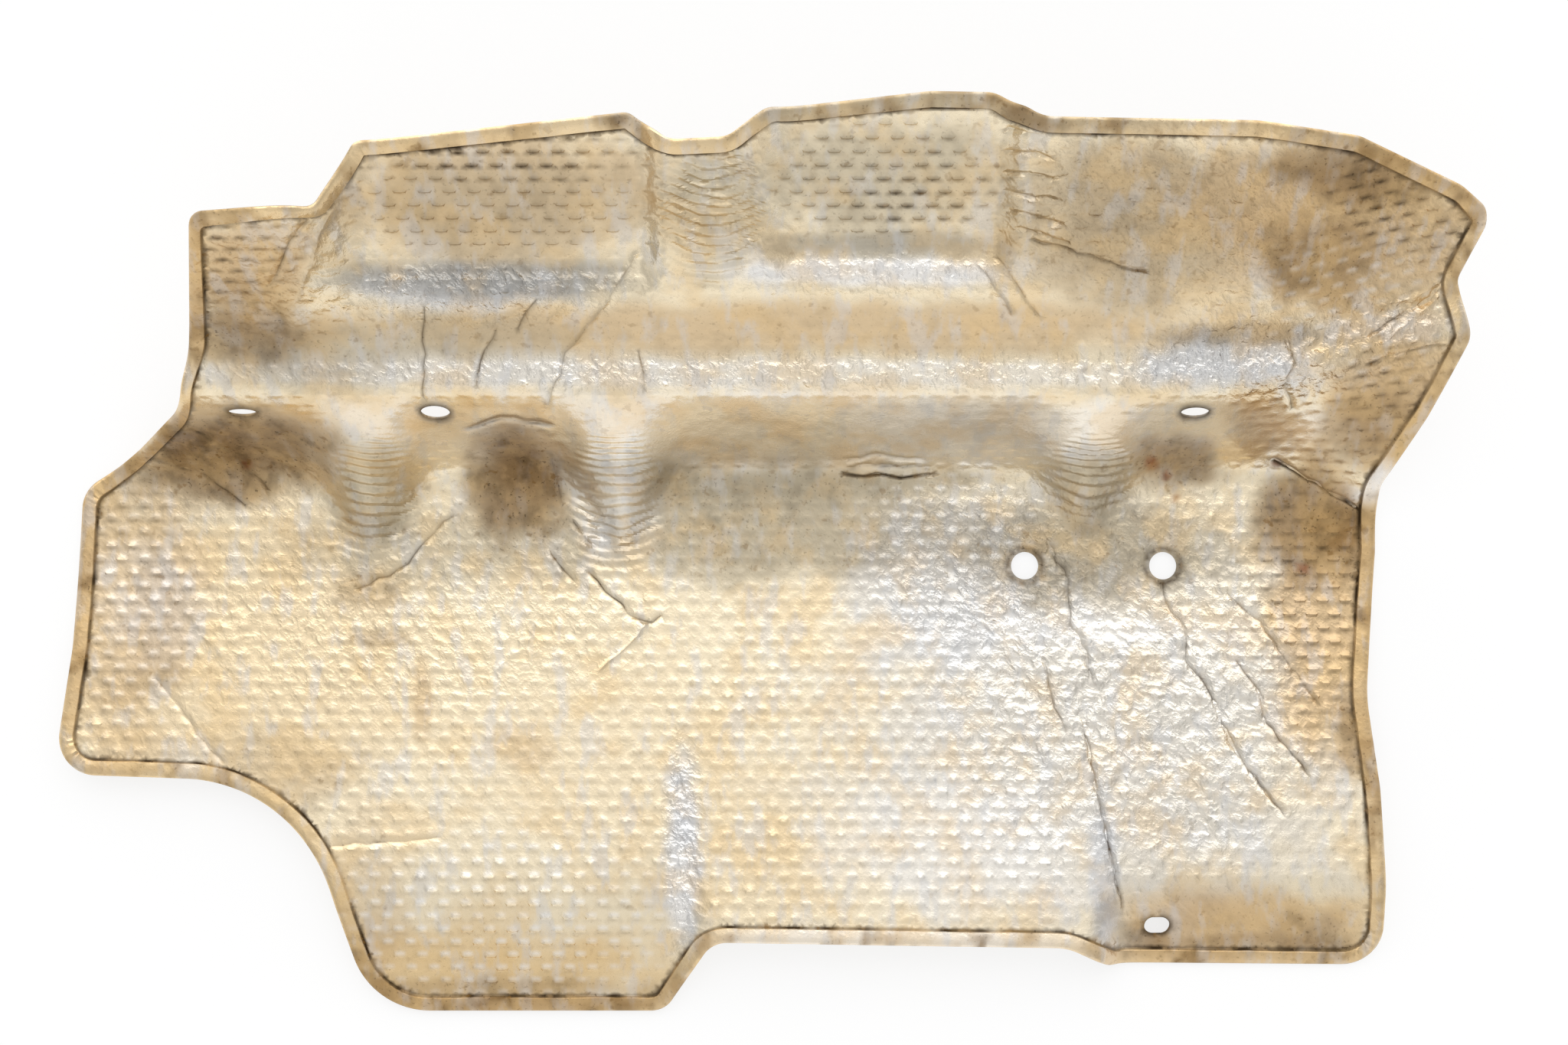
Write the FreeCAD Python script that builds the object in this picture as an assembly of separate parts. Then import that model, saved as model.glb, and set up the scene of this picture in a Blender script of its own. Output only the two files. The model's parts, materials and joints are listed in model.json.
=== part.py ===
# Pressed heat shield: one embossed aluminium sheet, drawn to a stepped form, its rim hemmed to the front.
# X runs along the shield, Y from the lower panel to the upper wall, Z up from the floor. Millimetres.
import FreeCAD, Part
import math
import os
from FreeCAD import Vector
from FreeCAD import Base

# Sheet and hem: the rim's width along the sheet, the rounding of its nose, its tightest inner corner
SHEET = 0.9
HEM_WIDTH = 6.0
NOSE = 0.45
TIGHTEST = 0.6

# Stepped section, from the valley up: steep wall, ledge, inclined upper wall
FOOT_Y = 20.0
WALL_RUN = 25.0
WALL_RISE = 46.0
WALL_BEND = 2.4
LEDGE_DEPTH = 14.0
UPPER_SLOPE = 0.79
UPPER_BEND = 2.5
SHOULDER_X = -150.0
SHOULDER_SLOPE = 1.27
SHOULDER_BLEND = 9.0

# Right end: the foot of the wall runs out to the front, the ledge climbs to the back
FLARE_X = 180.0
FLARE_FOOT = 0.47
FLARE_LEDGE_X = 155.0
FLARE_LEDGE = 0.29
FLARE_BEND = 4.0

# Wrinkled gussets across the valley: place along X, half width, reach in front of the foot
GUSSETS = ((-150.0, 15.0, 29.0), (-59.0, 15.0, 28.0), (110.0, 16.0, 20.0))

# Pockets set back into the upper wall
POCKET_DEPTH = 9.0
POCKET_BLEND = 6.0
POCKET_SIDE = 3.0
LEFT_POCKET_END = -43.5
LEFT_POCKET_Y = 83.0
RIGHT_POCKET = (-4.0, 75.0)
RIGHT_POCKET_Y = 88.0

# Lower panel, its turned-down lobe and flange, and the bend beside the flange
PANEL_Y = -20.0
PANEL_SLOPE = 0.10
PANEL_BEND = 6.0
LOBE_Y = -134.0
LOBE_X = -32.0
LOBE_SLOPE = 0.35
FLANGE_Y = -131.0
FLANGE_X = 118.0
FLANGE_SLOPE = 0.49
FLANGE_BEND = 3.0
FLANGE_BLEND = 5.0

# Holes
BOLT_R = 5.0
BOLT_PITCH = 50.5
BOLT_X = 88.0
BOLT_Y = -15.8
WALL_HOLE_R = 5.0
WALL_HOLE_Y = 38.5
WALL_HOLES_X = (-189.8, -122.0, 144.0)
SLOT_LENGTH = 9.2
SLOT_WIDTH = 6.6
SLOT_PLACE = (135.5, -146.5)
DRILL = 6.0

# Slit by which the wall's right end parts from the panel: its inner end, its way out through the rim, its width
SLIT_START = (179.5, 22.8)
SLIT_END = (219.0, 1.4)
SLIT_WIDTH = 1.0
SLIT_TALL = 60.0

# Outline of the finished part in plan, counter-clockwise: corner x, y and corner radius
OUTLINE = (
    (-203.4, 63.5, 60.0), (-210.3, 40.4, 15.0), (-232.0, 26.3, 25.0), (-256.2, 11.9, 12.0),
    (-259.3, -45.6, 60.0), (-265.0, -91.2, 14.0), (-175.9, -94.2, 58.0), (-150.0, -178.4, 28.0),
    (-43.6, -178.4, 9.0), (-25.9, -151.2, 10.0), (102.2, -153.2, 20.0), (118.4, -160.8, 8.0),
    (218.5, -161.7, 14.0), (217.4, -132.1, 60.0), (216.0, -96.4, 60.0), (211.9, -63.4, 60.0),
    (216.1, -10.5, 40.0), (216.0, 13.4, 8.0), (227.6, 37.5, 40.0), (237.9, 64.2, 8.0),
    (231.2, 83.8, 5.0), (238.9, 104.4, 7.0), (225.7, 112.3, 20.0), (186.5, 125.4, 15.0),
    (151.6, 128.6, 40.0), (82.6, 129.7, 15.0), (67.7, 137.9, 12.0), (46.8, 138.2, 30.0),
    (-5.1, 133.0, 9.0), (-18.2, 124.1, 9.0), (-37.4, 123.2, 9.0), (-50.3, 132.4, 5.0),
    (-139.3, 123.8, 5.0), (-152.9, 102.2, 5.0), (-191.2, 99.7, 6.0))

# Rows of poles in the pressed skins: where each stretch ends, and the spacing up to there
ROOM = 9.0
SLOPE_STEP = 0.5
SEW = 0.02
ROWS_X = ((-170.0, 20.0), (-130.0, 10.0), (-80.0, 16.0), (-30.0, 8.0), (66.0, 12.0), (90.0, 8.0), (130.0, 10.0),
          (176.0, 16.0), (206.0, 10.0))
ROWS_Y = ((-140.0, 12.0), (-30.0, 30.0), (10.0, 10.0), (64.0, 6.0), (100.0, 7.0))
LAST_ROW = 16.0


def soft(t, k):
    """A bend: zero before it, a straight slope of one after it, k setting how round it is."""
    return k * math.log1p(math.exp(t / k))


def step(t, k):
    """From nought to one across a blend of half width k."""
    return 0.5 * (1 + math.tanh(t / k))


def foot(x):
    """Front line of the steep wall, led out to the front by each gusset and by the flare."""
    reach = sum(r * math.exp(-((x - c) / w) ** 2) for c, w, r in GUSSETS)
    return FOOT_Y - reach - FLARE_FOOT * soft(x - FLARE_X, FLARE_BEND)


def crest(x):
    """Front edge of the ledge."""
    return FOOT_Y + WALL_RUN + FLARE_LEDGE * soft(x - FLARE_LEDGE_X, FLARE_BEND)


def pockets(x, y):
    """Depth by which the upper wall is set back: two pockets with a rib left standing between."""
    left = step(x - SHOULDER_X, SHOULDER_BLEND) * step(LEFT_POCKET_END - x, POCKET_SIDE)
    right = step(x - RIGHT_POCKET[0], POCKET_BLEND) * step(RIGHT_POCKET[1] - x, POCKET_SIDE)
    left *= step(y - LEFT_POCKET_Y, POCKET_BLEND)
    right *= step(y - RIGHT_POCKET_Y, POCKET_BLEND)
    return POCKET_DEPTH * (left + right)


def height(x, y):
    """Height of the pressed front face over a place in plan."""
    low = foot(x)
    top = crest(x)
    z = WALL_RISE / (top - low) * (soft(y - low, WALL_BEND) - soft(y - top, WALL_BEND))
    steep = UPPER_SLOPE + (SHOULDER_SLOPE - UPPER_SLOPE) * step(SHOULDER_X - x, SHOULDER_BLEND)
    z += steep * soft(y - top - LEDGE_DEPTH, UPPER_BEND)
    z -= pockets(x, y)
    z += PANEL_SLOPE * soft(PANEL_Y - y, PANEL_BEND)
    z -= LOBE_SLOPE * soft(LOBE_Y - y, PANEL_BEND) * step(LOBE_X - x, PANEL_BEND)
    z -= FLANGE_SLOPE * soft(FLANGE_Y - y, FLANGE_BEND) * step(x - FLANGE_X, FLANGE_BLEND)
    return z


def normal(x, y):
    """Unit normal of the front face."""
    d = SLOPE_STEP
    gx = (height(x + d, y) - height(x - d, y)) / (2 * d)
    gy = (height(x, y + d) - height(x, y - d)) / (2 * d)
    return Vector(-gx, -gy, 1).normalize()


def grid(low, high, rows):
    """Knots and pole places of a cubic skin in one direction."""
    knots = [low]
    for end, space in rows + ((high, LAST_ROW),):
        count = max(1, round((end - knots[-1]) / space))
        begin = knots[-1]
        knots += [begin + (end - begin) * (i + 1) / count for i in range(count)]
    padded = [low] * 3 + knots + [high] * 3
    places = [sum(padded[i + 1:i + 4]) / 3 for i in range(len(knots) + 2)]
    return knots, [4] + [1] * (len(knots) - 2) + [4], places


LEFT = min(c[0] for c in OUTLINE) - ROOM
RIGHT = max(c[0] for c in OUTLINE) + ROOM
FRONT = min(c[1] for c in OUTLINE) - ROOM
BACK = max(c[1] for c in OUTLINE) + ROOM
KNOTS_X, MULT_X, POLES_X = grid(LEFT, RIGHT, ROWS_X)
KNOTS_Y, MULT_Y, POLES_Y = grid(FRONT, BACK, ROWS_Y)
PRESSED = [[(Vector(x, y, height(x, y)), normal(x, y)) for y in POLES_Y] for x in POLES_X]


def skin(level):
    """The pressed skin moved by a distance along its normal."""
    surface = Part.BSplineSurface()
    poles = [[p + n * level for p, n in row] for row in PRESSED]
    surface.buildFromPolesMultsKnots(poles, MULT_X, MULT_Y, KNOTS_X, KNOTS_Y, False, False, 3, 3)
    return surface


def unit(a, b):
    """Direction from one plan point to another."""
    length = math.hypot(b[0] - a[0], b[1] - a[1])
    return (b[0] - a[0]) / length, (b[1] - a[1]) / length


def corner_sides(corners):
    """Each corner with the directions of the line into it and the line out of it."""
    following = corners[1:] + corners[:1]
    before = corners[-1:] + corners[:-1]
    for last, here, after in zip(before, corners, following):
        yield here, unit(last, here), unit(here, after)


def lean(x, y, a, b):
    """Share of a width along the sheet that shows in plan at a corner of the rim."""
    way = unit((0, 0), (-a[1] - b[1], a[0] + b[0]))
    half = 0.5 * HEM_WIDTH
    near = height(x + way[0] * half, y + way[1] * half)
    far = height(x + way[0] * HEM_WIDTH, y + way[1] * HEM_WIDTH)
    return 1 / math.hypot(1, (far - near) / half)


def inset(width):
    """Corners of the outline moved inwards along the sheet: tighter at outer corners, wider at inner ones."""
    moved = []
    for (x, y, r), a, b in corner_sides(OUTLINE):
        turn = a[0] * b[1] - a[1] * b[0]
        shift = width * lean(x, y, a, b)
        back = shift * (1 - a[0] * b[0] - a[1] * b[1]) / turn
        place = (x - a[1] * shift - a[0] * back, y + a[0] * shift - a[1] * back)
        moved.append(place + (max(TIGHTEST, r - shift) if turn > 0 else r + shift,))
    return tuple(moved)


def ring(width, surface):
    """The outline, inset by a width and laid on a skin: an arc at each corner, a line to the next."""
    arcs = []
    for (x, y, r), a, b in corner_sides(inset(width)):
        half = 0.5 * math.acos(a[0] * b[0] + a[1] * b[1])
        reach = r * math.tan(half)
        rise = r / math.cos(half) - r
        way = unit(a, b)
        first = Base.Vector2d(x - a[0] * reach, y - a[1] * reach)
        middle = Base.Vector2d(x + way[0] * rise, y + way[1] * rise)
        last = Base.Vector2d(x + b[0] * reach, y + b[1] * reach)
        arcs.append((first, middle, last))
    edges = []
    for arc, after in zip(arcs, arcs[1:] + arcs[:1]):
        edges.append(Part.Geom2d.ArcOfCircle2d(*arc).toShape(surface))
        edges.append(Part.Geom2d.Line2dSegment(arc[2], after[0]).toShape(surface))
    return edges


def strip(lower, upper):
    """Ruled wall between two rings."""
    return [Part.makeRuledSurface(a, b) for a, b in zip(lower, upper)]


def shield():
    """Front, return of the hem, nose and back, sewn to one solid."""
    front, top, back = skin(0), skin(SHEET), skin(-SHEET)
    hem_low = ring(HEM_WIDTH, front)
    hem_high = ring(HEM_WIDTH, top)
    nose_top = ring(NOSE, top)
    nose_high = ring(0, skin(SHEET - NOSE))
    nose_low = ring(0, skin(NOSE - SHEET))
    nose_back = ring(NOSE, back)
    faces = [Part.Face(Part.Wire(hem_low))]
    faces.append(Part.Face([Part.Wire(nose_top), Part.Wire(hem_high).reversed()]))
    faces.append(Part.Face(Part.Wire(nose_back)))
    faces += strip(hem_low, hem_high)
    faces += strip(nose_top, nose_high)
    faces += strip(nose_high, nose_low)
    faces += strip(nose_low, nose_back)
    shell = Part.makeShell(faces)
    shell.sewShape(SEW)
    body = Part.Solid(Part.Shell(shell.Faces))
    if body.Volume < 0:
        body.reverse()
    return body


def pierce(body, middle, radius, axis):
    """A round hole through the sheet along an axis."""
    return body.cut(Part.makeCylinder(radius, 2 * DRILL, middle - axis * DRILL, axis))


def slot(body):
    """The slotted hole through the turned-down flange."""
    x, y = SLOT_PLACE
    middle = Vector(x, y, height(x, y) - DRILL)
    half = 0.5 * (SLOT_LENGTH - SLOT_WIDTH)
    r = 0.5 * SLOT_WIDTH
    ends = [Part.makeCylinder(r, 2 * DRILL, middle + Vector(side * half, 0, 0)) for side in (-1, 1)]
    waist = Part.makeBox(2 * half, SLOT_WIDTH, 2 * DRILL, middle - Vector(half, r, 0))
    return body.cut(ends[0].fuse(ends[1]).fuse(waist))


def slit(body):
    """The cut from inside the sheet out through the right-hand rim."""
    start = Vector(SLIT_START[0], SLIT_START[1], -0.5 * SLIT_TALL)
    way = Vector(SLIT_END[0] - SLIT_START[0], SLIT_END[1] - SLIT_START[1], 0)
    blade = Part.makeBox(way.Length, SLIT_WIDTH, SLIT_TALL, start)
    blade.rotate(start, Vector(0, 0, 1), math.degrees(math.atan2(way.y, way.x)))
    return body.cut(blade)


body = shield()
for place in (BOLT_X, BOLT_X + BOLT_PITCH):
    body = pierce(body, Vector(place, BOLT_Y, height(place, BOLT_Y)), BOLT_R, Vector(0, 0, 1))
facing = normal(WALL_HOLES_X[1], WALL_HOLE_Y)
wall_axis = Vector(0, facing.y, facing.z).normalize()
wall_z = height(WALL_HOLES_X[1], WALL_HOLE_Y)
for place in WALL_HOLES_X:
    body = pierce(body, Vector(place, WALL_HOLE_Y, wall_z), WALL_HOLE_R, wall_axis)
body = slit(slot(body)).Solids[0]
box = body.optimalBoundingBox(False, False)
middle = Vector(box.Center.x, box.Center.y, box.ZMin)
body.translate(-middle)
os.makedirs("parts", exist_ok=True)
body.exportStep("parts/heat_shield.step")
print("size", box.XLength, box.YLength, box.ZLength, "volume", body.Volume, "valid", body.isValid())
print("bolts", Vector(BOLT_X + 0.5 * BOLT_PITCH, BOLT_Y, height(BOLT_X, BOLT_Y)) - middle)
print("wall holes", Vector(0, WALL_HOLE_Y, wall_z) - wall_axis * (0.5 * SHEET) - middle, "along", wall_axis)
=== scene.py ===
# %% [markdown]
# # A used heat shield
# The object is one sheet of embossed aluminium, pressed to a stepped form, with its rim folded over to the
# front. Everything here is that one sheet: its form, its embossing, its creases, its hem and its stains.
# The imported model gives the frame, so the first cell loads it with its record.

# %% Load the frame
import json
import bpy
import numpy as np
from mathutils.geometry import delaunay_2d_cdt
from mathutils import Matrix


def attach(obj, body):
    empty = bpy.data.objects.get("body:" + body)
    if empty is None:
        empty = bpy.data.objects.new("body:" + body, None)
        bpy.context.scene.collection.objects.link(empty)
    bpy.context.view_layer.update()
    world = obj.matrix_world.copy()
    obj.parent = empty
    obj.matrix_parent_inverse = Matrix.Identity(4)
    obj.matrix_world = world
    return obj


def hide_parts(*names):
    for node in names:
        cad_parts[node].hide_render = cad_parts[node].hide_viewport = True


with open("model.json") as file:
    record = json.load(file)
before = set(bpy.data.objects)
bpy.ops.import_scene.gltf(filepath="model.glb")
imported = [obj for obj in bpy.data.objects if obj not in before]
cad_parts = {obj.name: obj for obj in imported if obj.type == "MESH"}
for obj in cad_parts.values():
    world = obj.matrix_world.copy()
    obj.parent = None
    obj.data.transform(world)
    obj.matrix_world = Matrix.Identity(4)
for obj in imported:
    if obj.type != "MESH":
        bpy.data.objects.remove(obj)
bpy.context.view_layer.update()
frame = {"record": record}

# %% [markdown]
# ## The pressed form
# On the real shield a pair of dies gives the sheet its steps: a lower panel, a steep wall with gussets
# across its foot, a ledge, and an upper wall with two pockets set back into it. It could be sculpted by
# hand, but the steps are straight bends, so a height formula over the plan says it in a few lines and keeps
# to the solid.

# %% Height of the front face, in millimetres
FOOT_Y, WALL_RUN, WALL_RISE, WALL_BEND = 20.0, 25.0, 46.0, 2.4
LEDGE_DEPTH, UPPER_SLOPE, UPPER_BEND = 14.0, 0.79, 2.5
SHOULDER_X, SHOULDER_SLOPE, SHOULDER_BLEND = -150.0, 1.27, 9.0
FLARE_X, FLARE_FOOT, FLARE_LEDGE_X, FLARE_LEDGE, FLARE_BEND = 180.0, 0.47, 155.0, 0.29, 4.0
# Each gusset: its place along the wall, its half width and how far it reaches out.
GUSSETS = ((-150.0, 15.0, 29.0), (-59.0, 15.0, 28.0), (110.0, 16.0, 20.0))
POCKET_DEPTH, POCKET_BLEND, POCKET_END_BLEND = 9.0, 6.0, 3.0
LEFT_POCKET_END, LEFT_POCKET_Y = -43.5, 83.0
RIGHT_POCKET, RIGHT_POCKET_Y = (-4.0, 75.0), 88.0
PANEL_Y, PANEL_SLOPE, PANEL_BEND = -20.0, 0.10, 6.0
LOBE_Y, LOBE_X, LOBE_SLOPE, LOBE_BEND = -134.0, -32.0, 0.35, 6.0
FLANGE_Y, FLANGE_X, FLANGE_SLOPE, FLANGE_BEND, FLANGE_BLEND = -131.0, 118.0, 0.49, 3.0, 5.0
SHEET, SLOPE_STEP, METRE = 0.9, 0.4, 1000


def soft(t, k):
    """A bend: zero before it, a slope of one after it, k setting how round it is."""
    return k * np.logaddexp(0.0, t / k)


def step(t, k):
    """From nought to one across a blend of half width k."""
    return 0.5 * (1 + np.tanh(t / k))


def bell(t):
    """A smooth bump, one in the middle and nearly nought two half widths away."""
    return np.exp(-t * t)


def foot(x, drawn):
    """Front line of the steep wall, led out by the flare and, where the sheet is drawn, by each gusset."""
    reach = sum(r * bell((x - c) / w) for c, w, r in GUSSETS)
    return FOOT_Y - drawn * reach - FLARE_FOOT * soft(x - FLARE_X, FLARE_BEND)


def crest(x):
    """Front edge of the ledge."""
    return FOOT_Y + WALL_RUN + FLARE_LEDGE * soft(x - FLARE_LEDGE_X, FLARE_BEND)


def height(x, y, drawn=1.0):
    """Sum of bends along Y, each placed by a line that may wander in X, less the pockets' set-back.

    With drawn at nought it is the plainly bent sheet, before the gussets and pockets are drawn into it."""
    low, top = foot(x, drawn), crest(x)
    z = WALL_RISE / (top - low) * (soft(y - low, WALL_BEND) - soft(y - top, WALL_BEND))
    steep = UPPER_SLOPE + (SHOULDER_SLOPE - UPPER_SLOPE) * step(SHOULDER_X - x, SHOULDER_BLEND)
    z = z + steep * soft(y - top - LEDGE_DEPTH, UPPER_BEND)
    left = step(x - SHOULDER_X, SHOULDER_BLEND) * step(LEFT_POCKET_END - x, POCKET_END_BLEND)
    right = step(x - RIGHT_POCKET[0], POCKET_BLEND) * step(RIGHT_POCKET[1] - x, POCKET_END_BLEND)
    left = left * step(y - LEFT_POCKET_Y, POCKET_BLEND)
    right = right * step(y - RIGHT_POCKET_Y, POCKET_BLEND)
    z = z - drawn * POCKET_DEPTH * (left + right)
    z = z + PANEL_SLOPE * soft(PANEL_Y - y, PANEL_BEND)
    z = z - LOBE_SLOPE * soft(LOBE_Y - y, LOBE_BEND) * step(LOBE_X - x, LOBE_BEND)
    return z - FLANGE_SLOPE * soft(FLANGE_Y - y, FLANGE_BEND) * step(x - FLANGE_X, FLANGE_BLEND)


def unit(v):
    """Vectors brought to a length of one."""
    return v / np.linalg.norm(v, axis=-1, keepdims=True)


def normal(x, y):
    """Unit normal from the height's slopes."""
    d = SLOPE_STEP
    gx = (height(x + d, y) - height(x - d, y)) / (2 * d)
    gy = (height(x, y + d) - height(x, y - d)) / (2 * d)
    return unit(np.stack([-gx, -gy, np.ones_like(gx)], -1))


bolts = next(m for m in frame["record"]["mounts"] if m["name"] == "valley_bolts")
BOLT_X, BOLT_PITCH, BOLT_Y, BOLT_R = 88.0, 50.5, -15.8, 5.0
bolt_z = float(height(np.float64(BOLT_X), np.float64(BOLT_Y)))
SHIFT = np.array(bolts["pos_m"]) * METRE - np.array([BOLT_X + 0.5 * BOLT_PITCH, BOLT_Y, bolt_z])
print("drawing origin in the frame, mm", SHIFT.round(2))

# %% [markdown]
# ## The camera
# The photograph looks straight down on the sheet, so the camera hangs over the drawing's origin. The two
# round holes give the scale, 0.28 mm to a pixel at the floor, and the embossing grows towards the raised
# wall, which gives the height of the camera. The same two numbers turn a photo pixel into a place on the
# sheet.

# %% Camera over the sheet
PHOTO_W, PHOTO_H = 2048, 1365
PIXEL, EYE = 0.28, 800.0
SENSOR, RAY_STEPS = 36.0, 60


def photo_place(x, y, z):
    """Pixel of the photograph at which a point of the sheet shows."""
    scale = PIXEL * (1 - z / EYE)
    return 0.5 * PHOTO_W + x / scale, 0.5 * PHOTO_H - y / scale


def sheet_place(px, py):
    """Plan place of a photo pixel, found by walking along its ray to the front face."""
    z = np.zeros_like(np.asarray(px, float))
    for _ in range(RAY_STEPS):
        scale = PIXEL * (1 - z / EYE)
        x, y = (px - 0.5 * PHOTO_W) * scale, (0.5 * PHOTO_H - py) * scale
        z = 0.5 * (z + height(x, y))
    return x, y


scene = bpy.context.scene
camera = bpy.data.objects.new("camera", bpy.data.cameras.new("camera"))
scene.collection.objects.link(camera)
scene.camera = camera
camera.data.sensor_width = SENSOR
camera.data.lens = SENSOR * EYE / (PIXEL * PHOTO_W)
camera.location = (SHIFT + np.array([0, 0, EYE])) / METRE
print("lens mm", round(camera.data.lens, 2))

# %% [markdown]
# ## The outline
# The blank was cut before it was hemmed, so its finished edge is a run of straight stretches and round
# corners. Each corner is one row here: its place and its radius. Moving every corner inwards by a width
# gives the inner edge of the hem with the same number of points, so the rows of the hem join up one to one.

# %% Rounded outline and its insets
# Each corner: its place in X and Y and its radius.
OUTLINE = (
    (-203.4, 63.5, 60.0), (-210.3, 40.4, 15.0), (-232.0, 26.3, 25.0), (-256.2, 11.9, 12.0),
    (-259.3, -45.6, 60.0), (-265.0, -91.2, 14.0), (-175.9, -94.2, 58.0), (-150.0, -178.4, 28.0),
    (-43.6, -178.4, 9.0), (-25.9, -151.2, 10.0), (102.2, -153.2, 20.0), (118.4, -160.8, 8.0),
    (218.5, -161.7, 14.0), (217.4, -132.1, 60.0), (216.0, -96.4, 60.0), (211.9, -63.4, 60.0),
    (216.1, -10.5, 40.0), (216.0, 13.4, 8.0), (227.6, 37.5, 40.0), (237.9, 64.2, 8.0),
    (231.2, 83.8, 5.0), (238.9, 104.4, 7.0), (225.7, 112.3, 20.0), (186.5, 125.4, 15.0),
    (151.6, 128.6, 40.0), (82.6, 129.7, 15.0), (67.7, 137.9, 12.0), (46.8, 138.2, 30.0),
    (-5.1, 133.0, 9.0), (-18.2, 124.1, 9.0), (-37.4, 123.2, 9.0), (-50.3, 132.4, 5.0),
    (-139.3, 123.8, 5.0), (-152.9, 102.2, 5.0), (-191.2, 99.7, 6.0))
EDGE_STEP, ARC_LEAST, HEM_WIDTH = 1.3, 3, 6.0
CLIMB_REACH, TIGHTEST = 3.0, 0.6


def turned(v):
    """Plan vectors turned a quarter to the left."""
    return np.stack([-v[:, 1], v[:, 0]], 1)


def ring(width):
    """Outline inset by a width: each corner's arc and the line after it, sampled the same at every inset.

    The width is divided by the slope's length, so that it is measured along the sheet."""
    full = np.array(OUTLINE)
    p = full[:, :2]
    out = unit(np.roll(p, -1, 0) - p)
    into = np.roll(out, 1, 0)
    half = 0.5 * np.arccos(np.clip((into * out).sum(1), -1, 1))
    side = np.sign(into[:, 0] * out[:, 1] - into[:, 1] * out[:, 0])
    inward = unit(turned(into + out))
    near = p + CLIMB_REACH * inward
    far = near + CLIMB_REACH * inward
    climb = (height(*far.T) - height(*near.T)) / CLIMB_REACH
    width = width / np.sqrt(1 + climb ** 2)
    moved = p + width[:, None] * turned(into) - into * (width * side * np.tan(half))[:, None]
    radius = np.where(side > 0, np.maximum(TIGHTEST, full[:, 2] - width), full[:, 2] + width)
    reach = (radius * np.tan(half))[:, None]
    first, last = moved - into * reach, moved + out * reach
    way, ahead = unit(out - into), unit(into + out)
    centre = moved + way * (radius / np.cos(half))[:, None]
    base = full[:, 2] * np.tan(half)
    lines = np.linalg.norm(np.roll(p, -1, 0) - p, axis=1) - base - np.roll(base, -1)
    points, turns = [], []
    for i in range(len(full)):
        count = max(ARC_LEAST, int(np.ceil(2 * half[i] * full[i, 2] / EDGE_STEP)))
        angle = np.linspace(-half[i], half[i], count, endpoint=False)[:, None]
        points.append(centre[i] - radius[i] * (np.cos(angle) * way[i] - np.sin(angle) * ahead[i]))
        turns.append(np.full(count, side[i] / full[i, 2]))
        count = max(1, int(np.ceil(lines[i] / EDGE_STEP)))
        share = np.linspace(0, 1, count, endpoint=False)[:, None]
        points.append(last[i] + share * (first[(i + 1) % len(full)] - last[i]))
        turns.append(np.zeros(count))
    return np.concatenate(points), np.concatenate(turns)


edge, edge_turn = ring(0.0)
print("outline points", len(edge), "x", edge[:, 0].min().round(1), edge[:, 0].max().round(1))

# %% [markdown]
# ## The blank before pressing
# The embossing was rolled into the flat sheet before the press bent it, so its rows keep their spacing
# along the sheet, not along the floor. Measuring the length up each column of the sheet gives that
# developed place, and the mesh is laid out and joined up there.

# %% Developed length up the sheet
COLUMN_X = np.arange(-282.0, 258.0, 1.0)
ROW_Y = np.arange(-196.0, 156.0, 0.25)
START_Y, HALVINGS = -100.0, 22
SHY = 1.001  # keeps a place short of the table's far edge
MIDDLE_TOP = np.array([[20.0], [135.0]])
rise = np.gradient(height(COLUMN_X[:, None], ROW_Y[None, :], 0.0), ROW_Y, axis=1)
LENGTH = np.cumsum(np.sqrt(1 + rise ** 2), axis=1) * (ROW_Y[1] - ROW_Y[0])
LENGTH -= LENGTH[:, [int(np.searchsorted(ROW_Y, START_Y))]]


def developed(x, y):
    """Length along the sheet from the start line, read from the table between its four neighbours."""
    u = np.clip((x - COLUMN_X[0]) / (COLUMN_X[1] - COLUMN_X[0]), 0, len(COLUMN_X) - SHY)
    v = np.clip((y - ROW_Y[0]) / (ROW_Y[1] - ROW_Y[0]), 0, len(ROW_Y) - SHY)
    i, j = u.astype(int), v.astype(int)
    a, b = u - i, v - j
    low = LENGTH[i, j] * (1 - b) + LENGTH[i, j + 1] * b
    high = LENGTH[i + 1, j] * (1 - b) + LENGTH[i + 1, j + 1] * b
    return low * (1 - a) + high * a


def plan_y(x, v):
    """Plan Y of a developed length, closed in on by halving."""
    low, high = np.full_like(x, ROW_Y[0]), np.full_like(x, ROW_Y[-1])
    for _ in range(HALVINGS):
        middle = 0.5 * (low + high)
        under = developed(x, middle) < v
        low, high = np.where(under, middle, low), np.where(under, high, middle)
    return 0.5 * (low + high)


print("sheet length at the middle, mm", round(float(developed(*MIDDLE_TOP)[0]), 1))

# %% [markdown]
# ## The embossing
# Each dimple is a small roof: a triangular slope, point up, that rises to a straight ridge and drops off
# steeply below it. Rows are 5 mm apart and every other row is moved by half a pitch. A bump map would show
# it but leave the sheet flat in a print, so every dimple gets its own points on the ridge, the foot and the
# tip.

# %% Places of the mesh points
PITCH, ROW = 8.2, 5.0
RIDGE, FOOT, TIP, HALF = 0.36, 0.19, 0.94, 0.19
# Points of one dimple's cell, in pitches across and rows up.
CELL = (
    (-HALF, RIDGE), (0.0, RIDGE), (HALF, RIDGE), (-0.22, FOOT), (0.0, FOOT), (0.22, FOOT), (-0.10, 0.62),
    (0.10, 0.62), (0.0, TIP), (-0.30, 0.45), (0.30, 0.45), (0.5, 0.22), (0.5, 0.58), (-0.28, 0.80),
    (0.28, 0.80), (0.5, 0.93), (-0.17, 0.02), (0.17, 0.02))
ROW_RANGE, CELL_RANGE, RIB_STEP, RIB_EDGE = (-20, 66), (-35, 32), (1.5, 0.8), 1.6
NET_X, NET_V = (-280, 250), (-90, 320)
FAR, CHUNK = 1e9, 4000
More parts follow.
